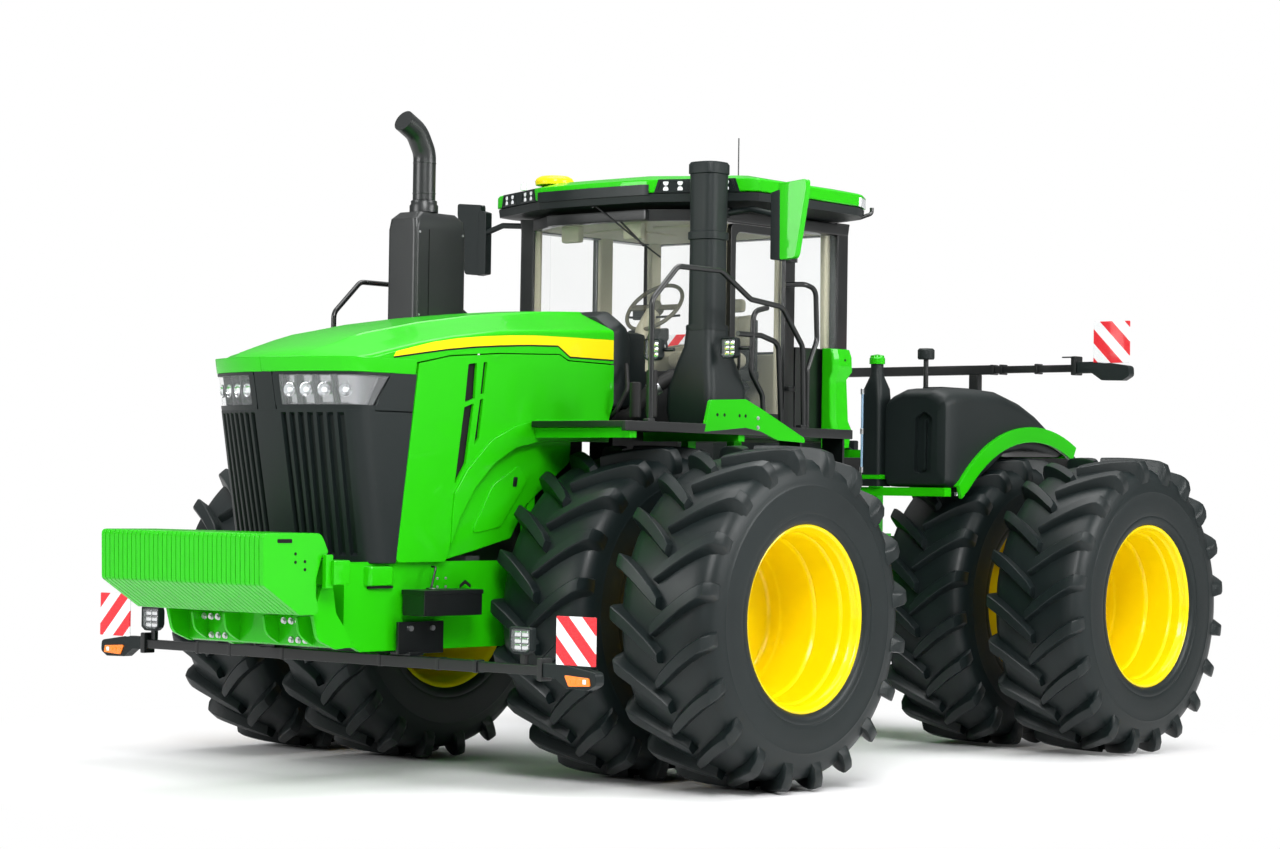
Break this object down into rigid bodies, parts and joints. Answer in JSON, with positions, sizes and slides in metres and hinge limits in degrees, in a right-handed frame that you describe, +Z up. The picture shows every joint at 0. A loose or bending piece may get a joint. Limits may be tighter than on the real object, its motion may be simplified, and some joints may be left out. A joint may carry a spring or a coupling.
{
  "type": "farm tractor",
  "caption": "Articulated four-wheel-drive farm tractor with twin tyres all round, a long sloping hood, high cab, side walkway, tanks behind and hung front weights.",
  "frame": {"origin": "Centre of the whole tractor's footprint, on the ground under the tyres.", "axes": "+Z up; -Y is the front (the hung weights), +Y the rear (the drawbar); +X is the tractor's left-hand side, where the door and ladder are."},
  "size_m": [4.608, 8.256, 4.2298],
  "materials": {
    "green_paint": "gloss",
    "yellow_paint": "gloss",
    "tyre_rubber": "matte",
    "engine_iron": "rough",
    "black_plastic": "matte",
    "black_paint": "satin",
    "clear_glass": "clear",
    "lamp_lens": "gloss",
    "marker_sheet": "satin",
    "trim_plastic": "matte",
    "seat_cloth": "woven",
    "polished_rod": "polished"
  },
  "bodies": {
    "front_frame": {"front_chassis": "green_paint", "front_axle": "green_paint", "engine_block": "engine_iron", "weight_bracket": "green_paint", "front_weights": "green_paint", "exhaust_box": "black_paint", "exhaust_pipe": "black_paint", "air_intake": "black_plastic", "cowl": "black_plastic", "cab_frame": "black_paint", "cab_glass": "clear_glass", "cab_roof": "green_paint", "roof_receivers": "yellow_paint", "seat": "seat_cloth", "cab_controls": "trim_plastic", "platforms": "black_paint", "handrails": "black_paint", "ladder": "black_paint", "cab_corner_box": "green_paint", "toolbox": "black_plastic", "mirrors": "black_plastic", "work_lamps": "lamp_lens", "front_light_bar": "black_paint", "front_markers": "marker_sheet"},
    "hood": {"hood_shell": "green_paint", "grille": "black_plastic", "headlights": "lamp_lens"},
    "door": {"cab_door": "black_paint", "door_glass": "clear_glass"},
    "wheels_front_left": {"tyres_front_left": "tyre_rubber", "rims_front_left": "yellow_paint"},
    "wheels_front_right": {"tyres_front_right": "tyre_rubber", "rims_front_right": "yellow_paint"},
    "knuckle": {"center_knuckle": "green_paint"},
    "barrel_left": {"steering_barrel_left": "black_paint"},
    "barrel_right": {"steering_barrel_right": "black_paint"},
    "rod_left": {"steering_rod_left": "polished_rod"},
    "rod_right": {"steering_rod_right": "polished_rod"},
    "rear_frame": {"rear_chassis": "green_paint", "rear_axle": "green_paint", "fuel_tank": "black_plastic", "fluid_column": "black_plastic", "rear_fenders": "green_paint", "drawbar": "green_paint", "rear_light_bar": "black_paint", "rear_markers": "marker_sheet"},
    "wheels_rear_left": {"tyres_rear_left": "tyre_rubber", "rims_rear_left": "yellow_paint"},
    "wheels_rear_right": {"tyres_rear_right": "tyre_rubber", "rims_rear_right": "yellow_paint"}
  },
  "joints": [
    {"name": "articulation", "type": "hinge", "parent": "front_frame", "child": "knuckle", "pos_m": [0, 0.722, 1.03], "axis": [0, 0, 1], "range_deg": [-38, 38]},
    {"name": "oscillation", "type": "hinge", "parent": "knuckle", "child": "rear_frame", "pos_m": [0, 1.342, 1.03], "axis": [0, 1, 0], "range_deg": [-10, 10]},
    {"name": "door_swing", "type": "hinge", "parent": "front_frame", "child": "door", "pos_m": [0.905, 0.402, 2.85], "axis": [0, 0, 1], "range_deg": [0, 70]},
    {"name": "hood_lift", "type": "hinge", "parent": "front_frame", "child": "hood", "pos_m": [0, -1.093, 2.88], "axis": [-1, 0, 0], "range_deg": [0, 40]},
    {"name": "spin_front_left", "type": "hinge", "parent": "front_frame", "child": "wheels_front_left", "pos_m": [1.4735, -1.234, 1.03], "axis": [1, 0, 0], "continuous": true},
    {"name": "spin_front_right", "type": "hinge", "parent": "front_frame", "child": "wheels_front_right", "pos_m": [-1.4735, -1.234, 1.03], "axis": [1, 0, 0], "continuous": true},
    {"name": "spin_rear_left", "type": "hinge", "parent": "rear_frame", "child": "wheels_rear_left", "pos_m": [1.4735, 2.678, 1.03], "axis": [1, 0, 0], "continuous": true},
    {"name": "spin_rear_right", "type": "hinge", "parent": "rear_frame", "child": "wheels_rear_right", "pos_m": [-1.4735, 2.678, 1.03], "axis": [1, 0, 0], "continuous": true},
    {"name": "cylinder_swing_left", "type": "hinge", "parent": "front_frame", "child": "barrel_left", "pos_m": [0.37, -0.038, 1.02], "axis": [0, 0, 1], "range_deg": [-11, 11]},
    {"name": "cylinder_slide_left", "type": "slide", "parent": "barrel_left", "child": "rod_left", "axis": [0, 1, 0], "range_m": [-0.24, 0.24]},
    {"name": "cylinder_swing_right", "type": "hinge", "parent": "front_frame", "child": "barrel_right", "pos_m": [-0.37, -0.038, 1.02], "axis": [0, 0, 1], "range_deg": [-11, 11]},
    {"name": "cylinder_slide_right", "type": "slide", "parent": "barrel_right", "child": "rod_right", "axis": [0, 1, 0], "range_m": [-0.24, 0.24]}
  ],
  "couplings": [
    {"joint": "cylinder_swing_left", "follows": "articulation", "ratio": 0.285},
    {"joint": "cylinder_swing_right", "follows": "articulation", "ratio": 0.285},
    {"joint": "cylinder_slide_left", "follows": "articulation", "m_per_rad": 0.36},
    {"joint": "cylinder_slide_right", "follows": "articulation", "m_per_rad": -0.36}
  ]
}
